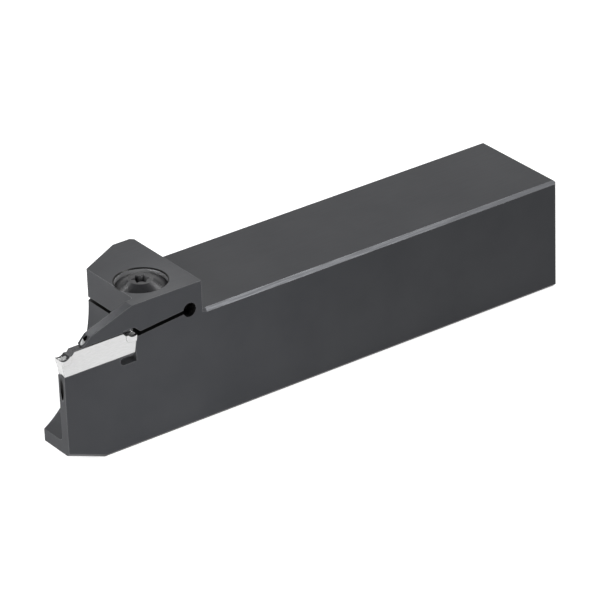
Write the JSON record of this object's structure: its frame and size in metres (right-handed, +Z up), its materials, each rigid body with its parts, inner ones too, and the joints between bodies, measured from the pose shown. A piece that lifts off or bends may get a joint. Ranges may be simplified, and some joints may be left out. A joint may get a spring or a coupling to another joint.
{
  "type": "turning tool holder",
  "caption": "Grooving and parting holder for a lathe: a square shank with a slit head that clamps a reversible cutting insert on a thin blade, with coolant outlets above and below the edge",
  "frame": {"origin": "on the flat underside of the shank, on its centreline, midway between the cutting edge and the rear end", "axes": "X runs along the shank from the cutting edge to the rear end, Y runs from the blade's side to the far side, Z is up"},
  "size_m": [0.125, 0.0251, 0.032],
  "materials": {
    "holder_steel": "dark grey satin surface treatment on milled tool steel",
    "carbide": "coated carbide: silver flanks, dark upper faces",
    "screw_steel": "black oxide, slightly worn",
    "plug_steel": "dark zinc plating"
  },
  "bodies": {
    "holder": {"holder": "holder_steel", "port_plug": "plug_steel"},
    "insert": {"cutting_insert": "carbide"},
    "screw": {"clamp_screw": "screw_steel"}
  },
  "joints": [
    {"name": "insert_slide", "type": "slide", "parent": "holder", "child": "insert", "axis": [-1, 0, 0], "range_m": [0, 0.015]},
    {"name": "screw_turn", "type": "hinge", "parent": "holder", "child": "screw", "pos_m": [-0.0379, -0.0047, 0.0293], "axis": [0, 0, 1], "range_deg": [0, 720]}
  ]
}
